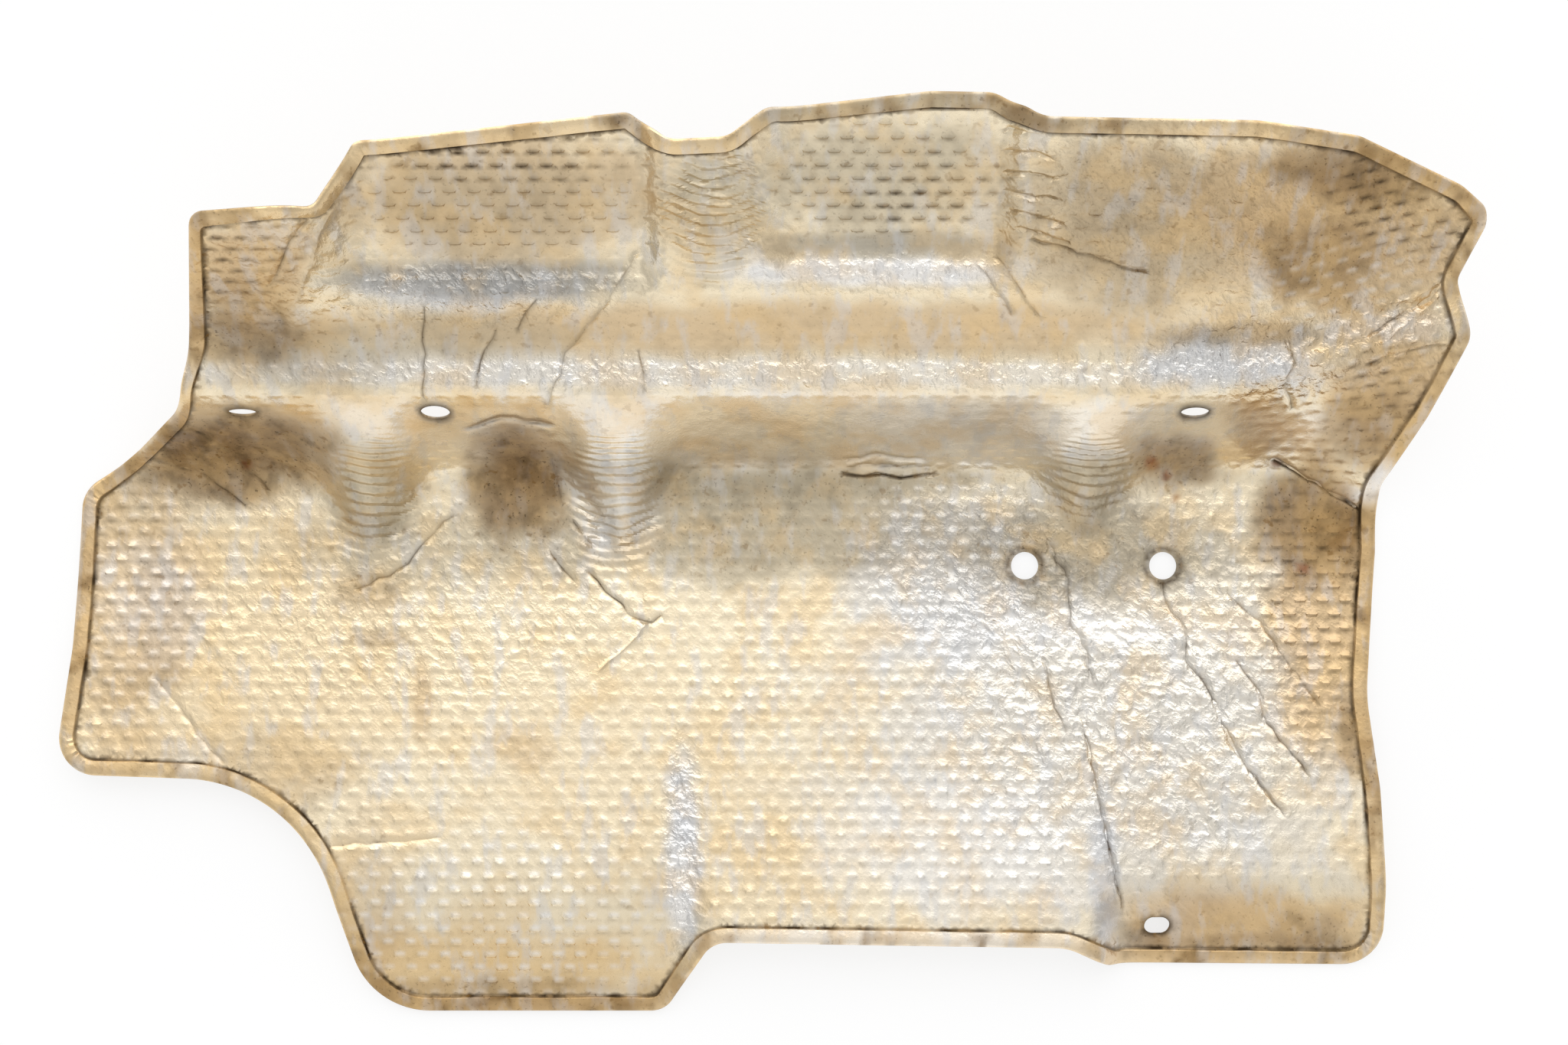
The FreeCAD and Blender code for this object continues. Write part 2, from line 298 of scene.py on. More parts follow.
# Holes in the wall: place in X and Y and half height as seen from above.
WALL_HOLES = ((-189.8, 38.5, 1.1), (-122.0, 38.5, 2.1), (144.0, 38.5, 1.6))
SLOT_PLACE, SLOT_LENGTH, SLOT_WIDTH = (135.5, -146.5), 9.2, 6.6
HOLE_POINTS = 40
# Each rib: its name, and its middle and half sizes in photo pixels.
RIBS = (("left gusset", 490, 652, 56, 74), ("middle gusset", 803, 660, 62, 82),
        ("right gusset", 1428, 628, 58, 50), ("rib between the pockets", 930, 272, 70, 96))


def inside(x, y, loop):
    """True where a ray to the right crosses the loop an odd number of times."""
    hit = np.zeros(len(x), bool)
    for (ax, ay), (bx, by) in zip(loop, np.roll(loop, -1, 0)):
        if ay != by:
            hit ^= ((ay > y) != (by > y)) & (x < ax + (y - ay) * (bx - ax) / (by - ay))
    return hit


def gap(x, y, loop):
    """Distance from each place to the nearest corner of a finely stepped loop."""
    best = np.full(len(x), FAR)
    for k in range(0, len(x), CHUNK):
        part = slice(k, k + CHUNK)
        best[part] = np.hypot(x[part, None] - loop[:, 0], y[part, None] - loop[:, 1]).min(1)
    return best


turn = np.linspace(0, 2 * np.pi, HOLE_POINTS, endpoint=False)
circle = np.stack([np.cos(turn), np.sin(turn)], 1)
ends = np.stack([np.sign(circle[:, 0]), 0 * turn], 1)
stadium = circle * 0.5 * SLOT_WIDTH + ends * 0.5 * (SLOT_LENGTH - SLOT_WIDTH)
holes = [circle * BOLT_R + (BOLT_X + k * BOLT_PITCH, BOLT_Y) for k in (0, 1)]
holes += [circle * (BOLT_R, tall) + (a, b) for a, b, tall in WALL_HOLES]
holes.append(stadium + SLOT_PLACE)
hem_inner, _ = ring(HEM_WIDTH)

rows, cells = np.arange(*ROW_RANGE), np.arange(*CELL_RANGE)
r, c, k = np.meshgrid(rows, cells, np.arange(len(CELL)), indexing="ij")
offset = np.array(CELL)
x = ((c + 0.5 * (r % 2) + offset[k, 0]) * PITCH).ravel()
v = ((r + offset[k, 1]) * ROW).ravel()
y = plan_y(x, v)
px, py = photo_place(x, y, height(x, y))


def in_rib(px, py):
    """True within the oval of any wrinkled rib."""
    return np.any([((px - a) / w) ** 2 + ((py - b) / h) ** 2 < RIB_EDGE for _, a, b, w, h in RIBS], axis=0)


def net(across, up):
    """Even net over the flat blank: X and developed length of each of its places."""
    x, v = np.meshgrid(np.arange(*NET_X, across), np.arange(*NET_V, up), indexing="ij")
    return x.ravel(), v.ravel()


keep = ~in_rib(px, py)
x, y = x[keep], y[keep]
fine_x, fine_v = net(*RIB_STEP)
fine_y = plan_y(fine_x, fine_v)
px, py = photo_place(fine_x, fine_y, height(fine_x, fine_y))
keep = in_rib(px, py)
x, y = np.concatenate([x, fine_x[keep]]), np.concatenate([y, fine_y[keep]])
print("dimple and rib points", len(x))

# %% [markdown]
# ## Creases and dents
# This shield has been handled: sharp creases run over the panel, the corner by the flange is crumpled, and
# the gussets and the rib between the pockets are puckered where the press gathered the metal. Each crease
# is a short run of points read off the photograph, with its own depth, and it gets mesh points along its
# line.

# %% Creases as lines in the photograph
FAN = (((1320, 146), (1362, 152)), ((1318, 168), (1366, 178)), ((1316, 196), (1372, 206)),
       ((1316, 224), (1378, 234)), ((1318, 250), (1384, 262)), ((1320, 276), (1392, 294)),
       ((1332, 298), (1400, 318)))
# Each crease: its name, its run of photo pixels, its height and half width in mm, and its painted shade.
CREASES = (
    ("left wall", ((554, 403), (553, 521)), -0.35, 1.2, 0.35),
    ("pocket to wall", ((829, 334), (789, 401), (741, 460), (716, 528)), 0.5, 1.5, 0.2),
    ("ledge nick", ((834, 460), (842, 511)), -0.3, 1.0, 0.3),
    ("right pocket run-out", ((1350, 313), (1397, 326), (1439, 342), (1498, 355)), -0.5, 1.3, 0.4),
    ("right pocket fold", ((1279, 347), (1321, 410)), 0.5, 1.4, 0.2),
    ("right pocket second fold", ((1304, 338), (1359, 414)), -0.4, 1.3, 0.3),
    ("right wall", ((1683, 448), (1691, 474), (1680, 503), (1688, 537)), -0.5, 1.2, 0.3),
    ("left recess", ((591, 675), (564, 698), (530, 740), (467, 769)), -0.5, 1.4, 0.35),
    ("middle recess", ((720, 602), (733, 657)), -0.4, 1.2, 0.3),
    ("middle recess low", ((749, 682), (770, 711)), -0.4, 1.1, 0.3),
    ("panel nick", ((720, 724), (749, 758)), -0.4, 1.2, 0.3),
    ("panel fold", ((770, 749), (829, 808), (850, 812), (863, 804)), -0.6, 1.4, 0.35),
    ("panel fold branch", ((850, 812), (812, 850), (783, 876)), 0.5, 1.4, 0.2),
    ("crack at the foot", ((1103, 619), (1183, 623), (1220, 619)), -0.7, 0.8, 0.95),
    ("bolt crease", ((1369, 707), (1397, 766), (1399, 817), (1418, 855), (1426, 884)), -0.7, 1.5, 0.3),
    ("long crease", ((1519, 762), (1523, 791), (1548, 817), (1548, 859), (1573, 892), (1607, 969),
                     (1662, 1045), (1674, 1058)), -0.8, 1.6, 0.35),
    ("short crease", ((1363, 860), (1374, 910), (1392, 953)), -0.5, 1.4, 0.25),
    ("straight crease", ((1414, 932), (1439, 1062), (1466, 1188)), -0.8, 1.5, 0.4),
    ("right crease", ((1616, 864), (1645, 902), (1649, 936), (1708, 1012)), -0.7, 1.5, 0.35),
    ("upper right crease", ((1603, 775), (1649, 817), (1691, 880), (1720, 918)), -0.6, 1.5, 0.3),
    ("slit", ((1665, 601), (1712, 628), (1762, 656), (1784, 668)), -1.0, 1.3, 0.95),
    ("end of the upper hem", ((1815, 614), (1796, 640), (1770, 650)), 0.9, 3.0, 0.0),
    *(("fan at the pocket's end", line, -0.8, 1.2, 0.1) for line in FAN),
    ("notch fold 1", ((1893, 366), (1850, 384), (1800, 402)), 0.6, 1.6, 0.1),
    ("notch fold 2", ((1890, 374), (1845, 402), (1790, 436)), -0.6, 1.3, 0.35),
    ("notch fold 3", ((1880, 385), (1840, 420), (1800, 452)), 0.5, 1.4, 0.1),
    ("end fold", ((1905, 446), (1850, 456), (1790, 474)), -0.5, 1.4, 0.3),
    ("shoulder fold", ((405, 282), (370, 330), (352, 372)), -0.5, 1.5, 0.3),
    ("shoulder second fold", ((455, 200), (420, 300), (392, 390)), 0.5, 1.8, 0.1),
    ("wall fold left", ((648, 430), (630, 470), (622, 505)), -0.45, 1.2, 0.35),
    ("wall fold middle", ((700, 392), (676, 430)), -0.45, 1.2, 0.3),
    ("recess fold 1", ((250, 560), (300, 590), (350, 640)), -0.5, 1.3, 0.4),
    ("recess fold 2", ((200, 600), (260, 616), (320, 660)), -0.5, 1.3, 0.4),
    ("wall foot fold", ((610, 560), (660, 545), (720, 556)), -0.5, 1.3, 0.35),
    ("foot arc upper", ((1108, 600), (1150, 593), (1205, 600)), -0.35, 1.0, 0.2),
    ("foot arc lower", ((1112, 611), (1160, 606), (1215, 611)), -0.35, 1.0, 0.25),
    ("left corner", ((203, 886), (294, 1003)), -0.3, 1.6, 0.2),
    ("lobe line", ((433, 1105), (572, 1094)), -0.3, 1.6, 0.15))
CREASE_STEP, CREASE_CLEAR = 1.0, 1.5
CREASE_SIDES = (0.0, 0.45, -0.45, 1.1, -1.1)
WANDER_PX, WANDER_STEP_PX = 2.6, 13.0
CREASE_DICE = np.random.default_rng(11)


def walked(line):
    """Length of a run of points from its start to each of them."""
    return np.concatenate([[0], np.cumsum(np.linalg.norm(np.diff(line, axis=0), axis=1))])


def wandering(line):
    """The same run of points with more of them between, each pushed a little off the straight."""
    line = np.array(line, float)
    along = walked(line)
    at = np.linspace(0, along[-1], max(3, int(along[-1] / WANDER_STEP_PX)))
    places = np.stack([np.interp(at, along, line[:, 0]), np.interp(at, along, line[:, 1])], 1)
    push = CREASE_DICE.uniform(-WANDER_PX, WANDER_PX, places.shape)
    push[[0, -1]] = 0
    return places + push


CREASES = tuple((name, wandering(line), *rest) for name, line, *rest in CREASES)


def line_gap(px, py, line):
    """Distance in millimetres from each photo place to a run of points, taken segment by segment."""
    best = np.full(np.shape(px), FAR)
    for (ax, ay), (bx, by) in zip(line, line[1:]):
        dx, dy = bx - ax, by - ay
        t = np.clip(((px - ax) * dx + (py - ay) * dy) / (dx * dx + dy * dy), 0, 1)
        best = np.minimum(best, np.hypot(px - ax - t * dx, py - ay - t * dy))
    return best * PIXEL


def line_points(line):
    """Places along a crease and a little to either side of it."""
    along = walked(line)
    at = np.arange(0, along[-1], CREASE_STEP / PIXEL)
    px, py = np.interp(at, along, line[:, 0]), np.interp(at, along, line[:, 1])
    way = unit(np.gradient(np.stack([px, py], 1), axis=0))
    sides = np.array(CREASE_SIDES)[:, None] / PIXEL
    return sheet_place((px - sides * way[:, 1]).ravel(), (py + sides * way[:, 0]).ravel())


on_creases = np.concatenate([line_points(line) for _, line, *_ in CREASES], axis=1)
px, py = photo_place(x, y, height(x, y))
clear = np.min([line_gap(px, py, line) for _, line, *_ in CREASES], axis=0) > CREASE_CLEAR
x, y = np.concatenate([(x[clear], y[clear]), on_creases], axis=1)
print("creases", len(CREASES), "crease points", on_creases.shape[1], "in all", len(x))

# %% [markdown]
# ## Joining the points
# The points are joined in the developed plane, where the dimples are even, with the hem's inner edge and
# the holes as fixed loops. A plain grid would leave ragged edges there.

# %% Triangles of the front face
MARGIN, MERGE = 0.7, 1e-5


def clear_of_edges(x, y, rim, margin):
    """True for places inside the rim and outside every hole, a margin away from all of them."""
    clear = inside(x, y, rim) & (gap(x, y, rim) > margin)
    for loop in holes:
        clear &= ~inside(x, y, loop) & (gap(x, y, loop) > margin)
    return clear


free = clear_of_edges(x, y, hem_inner, MARGIN)
x, y = x[free], y[free]


def joined(x, y, loops):
    """Triangles between points and loops that leave out the holes: plan places, triangles, loop numbers.

    Places are rounded to single precision, as the joining keeps them, so that both agree on inside."""
    places = np.concatenate([np.stack([x, y], 1)] + loops)
    flat = np.stack([places[:, 0], developed(places[:, 0], places[:, 1])], 1)
    flat = flat.astype(np.float32).astype(float)
    edges, at = [], len(x)
    for loop in loops:
        ids = np.arange(at, at + len(loop))
        edges += np.stack([ids, np.roll(ids, -1)], 1).tolist()
        at += len(loop)
    made = delaunay_2d_cdt([tuple(p) for p in flat.tolist()], edges, [], 0, MERGE)
    out, faces = np.array([tuple(p) for p in made[0]]), np.array(made[2])
    first = np.array([source[0] for source in made[3]])
    middle = out[faces].mean(1)
    flats = np.split(flat[len(x):], np.cumsum([len(loop) for loop in loops])[:-1])
    part = inside(middle[:, 0], middle[:, 1], flats[0])
    for loop in flats[1:]:
        part &= ~inside(middle[:, 0], middle[:, 1], loop)
    faces = faces[part]
    a, b, c = (out[faces[:, i]] for i in range(3))
    ccw = (b[:, 0] - a[:, 0]) * (c[:, 1] - a[:, 1]) - (b[:, 1] - a[:, 1]) * (c[:, 0] - a[:, 0]) > 0
    faces = np.where(ccw[:, None], faces, faces[:, ::-1])
    return places[first], faces, first


front, front_tris, front_from = joined(x, y, [hem_inner] + holes)
print("front", len(front), "points", len(front_tris), "triangles")

# %% [markdown]
# ## Relief of the front face
# What the fingers feel on the sheet: dimples, puckers in the ribs, creases, and the crumpled lower right.
# All of it is moved along the sheet's own normal, so the stepped form underneath stays as it is.

# %% Dimples, puckers, creases and crumple
DIMPLE, SIDE_ROOM, SIDE_RUN = 0.38, 0.06, 0.07
PUCKER, PUCKER_LENGTH, PUCKER_SMILE, PUCKER_STRAY, PUCKER_STRAY_MM = 0.5, 3.6, 0.02, 2.2, 8.0
PUCKER_LEAST, PUCKER_VARY, PUCKER_VARY_MM = 0.4, 1.2, 6.0
WEAR_LEAST, WEAR_WIDE, WEAR_WIDE_MM, WEAR_CLOSE, WEAR_CLOSE_MM = 0.3, 0.9, 24.0, 0.3, 6.0
CREASE_LIP, LIP_AWAY = 0.35, 1.3
CRUMPLE, CRINKLE, CRINKLE_LEAST = 0.5, 0.2, 0.35
WARP, WARP_MM = 6, 17.0
FOLD_WAY, FOLD_MM, FOLD_LONG, FOLD_APART, FOLD_STEEP = (0.45, 0.89), (9.0, 5.2), (3.2, 2.2), 31, 4
FINE_MM, FINE_APART, SECOND = (6.5, 4.6), 40, 0.6
GATHER, GATHER_MM, GATHER_LONG, GATHER_STEEP = 1.0, 4.4, 4, 2
RELIEF_MIDDLE, HEM_FADE, HOLE_FADE = 0.1, 2.0, 3.0
OVAL_EDGE = 2.6
NOISE_SIDE, NOISE_START = 128, (50.3, 50.7)
NOISE = np.random.default_rng(7).random((NOISE_SIDE, NOISE_SIDE))


def noise(x, y, size):
    """Smooth random field between nought and one whose blobs are about one size wide."""
    u, w = x / size + NOISE_START[0], y / size + NOISE_START[1]
    i, j = np.floor(u).astype(int), np.floor(w).astype(int)
    a, b = u - i, w - j
    a, b = a * a * (3 - 2 * a), b * b * (3 - 2 * b)
    i0, i1, j0, j1 = i % NOISE_SIDE, (i + 1) % NOISE_SIDE, j % NOISE_SIDE, (j + 1) % NOISE_SIDE
    low = NOISE[i0, j0] * (1 - a) + NOISE[i1, j0] * a
    high = NOISE[i0, j1] * (1 - a) + NOISE[i1, j1] * a
    return low * (1 - b) + high * b


def oval(px, py, cx, cy, rx, ry):
    """Soft patch in the photograph: one in the middle, nought well outside its half sizes."""
    return np.exp(-(((px - cx) / rx) ** 2 + ((py - cy) / ry) ** 2) ** OVAL_EDGE)


def patches(px, py, rows):
    """Sum of soft patches, each a name, a middle, two half sizes and an amount."""
    return sum(amount * oval(px, py, cx, cy, rx, ry) for _, cx, cy, rx, ry, amount in rows)


def cell_place(x, y):
    """Place within a dimple's cell: up it from nought to one, and out from its middle line."""
    v = developed(x, y) / ROW
    r = np.floor(v)
    return v - r, np.abs((x / PITCH - 0.5 * (r % 2) + 0.5) % 1.0 - 0.5)


def dimples(x, y):
    """Roof over each cell: up from the tip to the ridge, down to the foot, closed in at the sides."""
    t, s = cell_place(x, y)
    up = (TIP - t) / (TIP - RIDGE)
    down = (t - FOOT) / (RIDGE - FOOT)
    sides = ((HALF + SIDE_ROOM) * np.clip(up, 0, 1) - s) / SIDE_RUN
    return np.clip(np.minimum(np.minimum(up, down), sides), 0, 1)


# Each patch: its name, its middle and half sizes in photo pixels, and its amount.
FLAT = (
    ("steep wall", 1000, 562, 900, 46, 0.9), ("bolt pad", 1428, 735, 150, 50, 0.8),
    ("flange strip", 1630, 1200, 170, 42, 0.7), ("upper wall", 1050, 420, 420, 36, 0.35),
    ("dent band", 898, 1110, 26, 120, 0.4), ("left wall top", 420, 470, 220, 30, 0.3),
    ("pale band", 1425, 1080, 26, 120, 0.5))
BOLD = (
    ("right edge", 1720, 800, 90, 200, 1.0), ("right end", 1840, 255, 110, 90, 1.4),
    ("right middle", 1480, 270, 150, 100, 0.4), ("left pocket", 640, 270, 200, 70, 0.8),
    ("right pocket", 1160, 235, 150, 75, 1.6), ("left band", 610, 372, 130, 30, 0.2),
    ("silver panel", 1250, 720, 120, 100, 0.2), ("right flap", 1825, 510, 80, 80, 0.7),
    ("left pocket top", 650, 195, 200, 26, 1.2), ("left wing", 190, 760, 90, 130, 0.4),
    ("lobe", 660, 1200, 230, 100, 0.5), ("right low", 1250, 1080, 200, 110, 0.3))
CRUSHED = (
    ("lower right", 1520, 900, 230, 260, 1.0), ("dent band", 892, 1100, 26, 140, 0.7),
    ("panel star", 790, 810, 60, 90, 0.7), ("bolt side", 1300, 800, 160, 120, 0.5),
    ("right end", 1780, 400, 130, 110, 0.7), ("right ledge", 1630, 468, 130, 44, 0.7),
    ("ledge", 1000, 482, 760, 30, 0.3), ("right upper", 1490, 270, 170, 110, 0.4),
    ("left wing", 230, 800, 120, 160, 0.35), ("shoulder", 330, 360, 90, 90, 0.6),
    ("right pocket", 1170, 240, 160, 80, 0.35))
UPRIGHT = (
    ("left band", 620, 392, 210, 40, 1.0), ("left wall", 540, 455, 260, 44, 0.6),
    ("pocket end", 1345, 245, 46, 110, 0.8), ("right ledge", 1640, 468, 190, 44, 1.0),
    ("pocket brim", 1160, 372, 250, 26, 0.6), ("left recess", 330, 610, 130, 60, 0.6),
    ("wall foot", 640, 560, 160, 40, 0.5), ("shoulder", 400, 330, 46, 110, 0.8))


def puckers(px, py, x, v):
    """Ripples across each rib, bowed so that their ends turn up."""
    total = np.zeros_like(x)
    for _, cx, cy, rx, ry in RIBS:
        across = (px - cx) * PIXEL
        strayed = v - PUCKER_SMILE * across ** 2 + PUCKER_STRAY * noise(x, v, PUCKER_STRAY_MM)
        share = PUCKER_LEAST + PUCKER_VARY * noise(v, x, PUCKER_VARY_MM)
        total += oval(px, py, cx, cy, rx, ry) * share * np.cos(2 * np.pi * strayed / PUCKER_LENGTH)
    return total


def fold_lines(x, y, size):
    """How far the random field is from its middle: nought along winding lines, like the backs of folds."""
    return np.abs(noise(x, y, size) - 0.5)


def relief(x, y):
    """Height of the front's surface over the pressed form, along its normal.

    It is the sum of the worn dimples, the puckers, the creases with a lip beside each, the gathers, and
    the crumples and crinkles, which stand up along fold lines, less their middle level."""
    px, py = photo_place(x, y, height(x, y))
    v = developed(x, y)
    rib = np.clip(sum(oval(px, py, *place) for _, *place in RIBS), 0, 1)
    flat = np.clip(patches(px, py, FLAT), 0, 1)
    worn = WEAR_LEAST + WEAR_WIDE * noise(x, y, WEAR_WIDE_MM) + WEAR_CLOSE * noise(y, x, WEAR_CLOSE_MM)
    worn = worn + patches(px, py, BOLD)
    d = DIMPLE * dimples(x, y) * (1 - flat) * (1 - rib) * worn
    d = d + PUCKER * puckers(px, py, x, v)
    for _, line, depth, width, _ in CREASES:
        away = line_gap(px, py, line)
        lip = CREASE_LIP * bell((away - LIP_AWAY * width) / width)
        d = d + depth * (np.clip(1 - away / width, 0, 1) - lip)
    crushed = np.clip(patches(px, py, CRUSHED), 0, 1)
    upright = np.clip(patches(px, py, UPRIGHT), 0, 1)
    warp = WARP * noise(x, y, WARP_MM)
    across, along_fold = FOLD_WAY[1] * x + FOLD_WAY[0] * v, FOLD_WAY[1] * v - FOLD_WAY[0] * x
    folds = fold_lines(across + warp, along_fold / FOLD_LONG[0], FOLD_MM[0])
    folds = folds + SECOND * fold_lines(across - warp - FOLD_APART, along_fold / FOLD_LONG[1], FOLD_MM[1])
    fine = fold_lines(x + v + warp, v - x, FINE_MM[0])
    fine = fine + SECOND * fold_lines(x - v, x + v + FINE_APART, FINE_MM[1])
    gathered = fold_lines(x + warp, v / GATHER_LONG, GATHER_MM)
    d = d + GATHER * upright * (0.5 - GATHER_STEEP * gathered)
    d = d + CRUMPLE * crushed * (1 - FOLD_STEEP * folds)
    return d + CRINKLE * (CRINKLE_LEAST + crushed) * (1 - FOLD_STEEP * fine) - RELIEF_MIDDLE


rim = np.clip(gap(*front.T, hem_inner) / HEM_FADE, 0, 1)
lift = relief(*front.T) * rim
for loop in holes:
    lift *= np.clip(gap(*front.T, loop) / HOLE_FADE, 0, 1)


def lifted(places, level):
    """Points of the sheet moved by a level along its normal."""
    x, y = places[:, 0], places[:, 1]
    return np.stack([x, y, height(x, y)], 1) + normal(x, y) * np.reshape(level, (-1, 1))


front_points = lifted(front, lift)
print("relief from", lift.min().round(2), "to", lift.max().round(2), "mm")

# %% [markdown]
# ## The hem
# The rim is folded over to the front and pressed flat, so a 6 mm band of sheet lies on top of the face.
# Where the edge turns a corner the band is gathered into pleats, and along straight runs it wavers a
# little. It is drawn as rows of points from its raw edge, over the top, round the nose and to the back.

# %% Rows of the hem
# Each row: its distance in from the edge and its level over the front face.
HEM_ROWS = ((5.95, 0.55), (5.6, 1.0), (4.3, 1.15), (2.6, 1.15), (1.0, 1.02), (0.25, 0.6), (0.0, 0.05),
            (0.25, -0.5), (0.9, -SHEET))
PLEAT, PLEAT_STEP, PLEAT_RADIUS, PLEAT_SPREAD = 0.28, 3.2, 22.0, 6
WAVER, WAVER_MM, WAVER_APART = (0.35, 0.25), (14.0, 5.0), 9
TOP_LEVEL, TOP_RUN, NOSE_WIDTH, TOP_WAVER = 0.2, 0.8, 2.0, 0.5
RAW_FROM, RAW_REACH, RAW_MIDDLE, RAW_WAVER, RAW_SHARE = 3, 1.0, 0.5, 0.9, 0.8
along = walked(edge)
gather = np.clip(edge_turn * PLEAT_RADIUS, 0, 1)
gather = np.concatenate([gather[-PLEAT_SPREAD:], gather, gather[:PLEAT_SPREAD]])
spread = 2 * PLEAT_SPREAD + 1
gather = np.convolve(gather, np.ones(spread) / spread, "valid")
waver = WAVER[0] * (noise(along, 0 * along, WAVER_MM[0]) - 0.5)
waver = waver + WAVER[1] * (noise(along, WAVER_APART + 0 * along, WAVER_MM[1]) - 0.5)
pleats = PLEAT * gather * np.cos(2 * np.pi * along / PLEAT_STEP)
hem_places, hem_points = [], []
for width, level in HEM_ROWS:
    top = np.clip((level - TOP_LEVEL) / TOP_RUN, 0, 1) * np.clip(width / NOSE_WIDTH, 0, 1)
    place, _ = ring(width)
    if width > RAW_FROM:
        inner, _ = ring(width - RAW_REACH)
        place = place + (inner - place) * (RAW_MIDDLE + RAW_WAVER * waver)[:, None] * RAW_SHARE
    hem_places.append(place)
    hem_points.append(lifted(place, level + top * (pleats + TOP_WAVER * waver)))
print("hem rows", len(HEM_ROWS), "of", len(edge), "points")

# %% [markdown]
# ## The back and the holes
# The back follows the same pressed form one sheet thickness below, on a coarser net because nothing small
# shows there. Each hole gets a wall from front to back, which closes the mesh.

# %% Back face
BACK_STEP, BACK_MARGIN = 4.6, 2.2
bx, bv = net(BACK_STEP, BACK_STEP)
bx = bx + 0.5 * BACK_STEP * (np.round(bv / BACK_STEP) % 2)
by = plan_y(bx, bv)
back_edge = hem_places[-1]
free = clear_of_edges(bx, by, back_edge, BACK_MARGIN)
back, back_tris, back_from = joined(bx[free], by[free], [back_edge] + holes)
back_points = lifted(back, np.full(len(back), -SHEET))
print("back", len(back), "points", len(back_tris), "triangles")

# %% [markdown]
# ## One closed sheet
# Front, hem, hole walls and back share their edge points, so the piece is one closed mesh with its faces
# outward.

# %% Mesh of the sheet
SHARP_DEGREES = 38


def numbers_of(source, begin, count):
    """Mesh numbers of a loop's points, in the loop's own order."""
    order = np.full(count, -1)
    hit = (source >= begin) & (source < begin + count)
    order[source[hit] - begin] = np.nonzero(hit)[0]
    return order


def band(a, b):
    """Two triangles for each step along two rows of points."""
    a2, b2 = np.roll(a, -1), np.roll(b, -1)
    return np.concatenate([np.stack([a, b2, a2], 1), np.stack([a, b, b2], 1)])


count = len(edge)
hem_base = len(front_points)
back_base = hem_base + (len(HEM_ROWS) - 1) * count
front_loose, back_loose = len(x), int(free.sum())
points = np.concatenate([front_points] + hem_points[:-1] + [back_points])
rows = [numbers_of(front_from, front_loose, count)]
rows += [np.arange(hem_base + i * count, hem_base + (i + 1) * count) for i in range(len(HEM_ROWS) - 1)]
rows.append(numbers_of(back_from, back_loose, count) + back_base)
tris = [front_tris, back_tris[:, ::-1] + back_base]
tris += [band(a, b)[:, ::-1] for a, b in zip(rows[1:], rows[:-1])]
for n in range(len(holes)):
    upper = numbers_of(front_from, front_loose + count + n * HOLE_POINTS, HOLE_POINTS)
    lower = numbers_of(back_from, back_loose + count + n * HOLE_POINTS, HOLE_POINTS) + back_base
    tris.append(band(upper, lower)[:, ::-1])
tris = np.concatenate(tris)
mesh = bpy.data.meshes.new("heat_shield_sheet")
mesh.from_pydata(((points + SHIFT) / METRE).tolist(), [], tris.tolist())
mesh.validate()
sheet = bpy.data.objects.new("heat_shield_sheet", mesh)
scene.collection.objects.link(sheet)
mesh.polygons.foreach_set("use_smooth", np.ones(len(mesh.polygons), bool))
mesh.set_sharp_from_angle(angle=np.radians(SHARP_DEGREES))
pairs = np.sort(np.concatenate([tris[:, [0, 1]], tris[:, [1, 2]], tris[:, [2, 0]]]), axis=1)
_, uses = np.unique(pairs, axis=0, return_counts=True)
a, b, c = (points[tris[:, i]] for i in range(3))
volume = (np.cross(a, b) * c).sum() / 6
print("triangles", len(tris), "open edges", int((uses != 2).sum()), "volume mm3", round(float(volume)))

# %% [markdown]
# ## Stains
# Heat has tinted the sheet gold, and road dirt has dried brown in the recesses and along the hem. Rubbed
# places are silver again. Some patches are painted light: grey and slate painted shade at the foot of the
# steep wall, by the pockets and over bends, painted shade in the recesses over their dirt, and white
# painted highlights on the steep wall, the ledge, the pocket's brim, the bolt pad's rim and the folds by
# the notch.
# Each patch is soft, at its place in the photograph, kept as a value on the mesh points, so that the finish
# can mix its colours there.

# %% Stains and painted light as soft patches in the photograph
# Slate serves only painted shade; grey, brown, white and dark serve stains and painted light both.
PALETTE = {"cream": "f5e6c8", "gold": "e6c48c", "tan": "c8a676", "steel": "d6d8dc", "grey": "ab9f88",
           "brown": "7c5a28", "dark": "38270f", "rust": "8a4a1c", "white": "faf7f2", "slate": "96938c"}
HIDES = {"tan": 0.22, "grey": 0.4, "slate": 0.2, "brown": 0.9, "rust": 0.95, "dark": 1.0}
RUST = ((1505, 606, 9, 12, 0.9), (1524, 622, 6, 7, 0.8), (1668, 604, 7, 6, 0.8), (1535, 650, 6, 6, 0.7),
        (1702, 742, 8, 7, 0.7), (320, 607, 6, 8, 0.8))
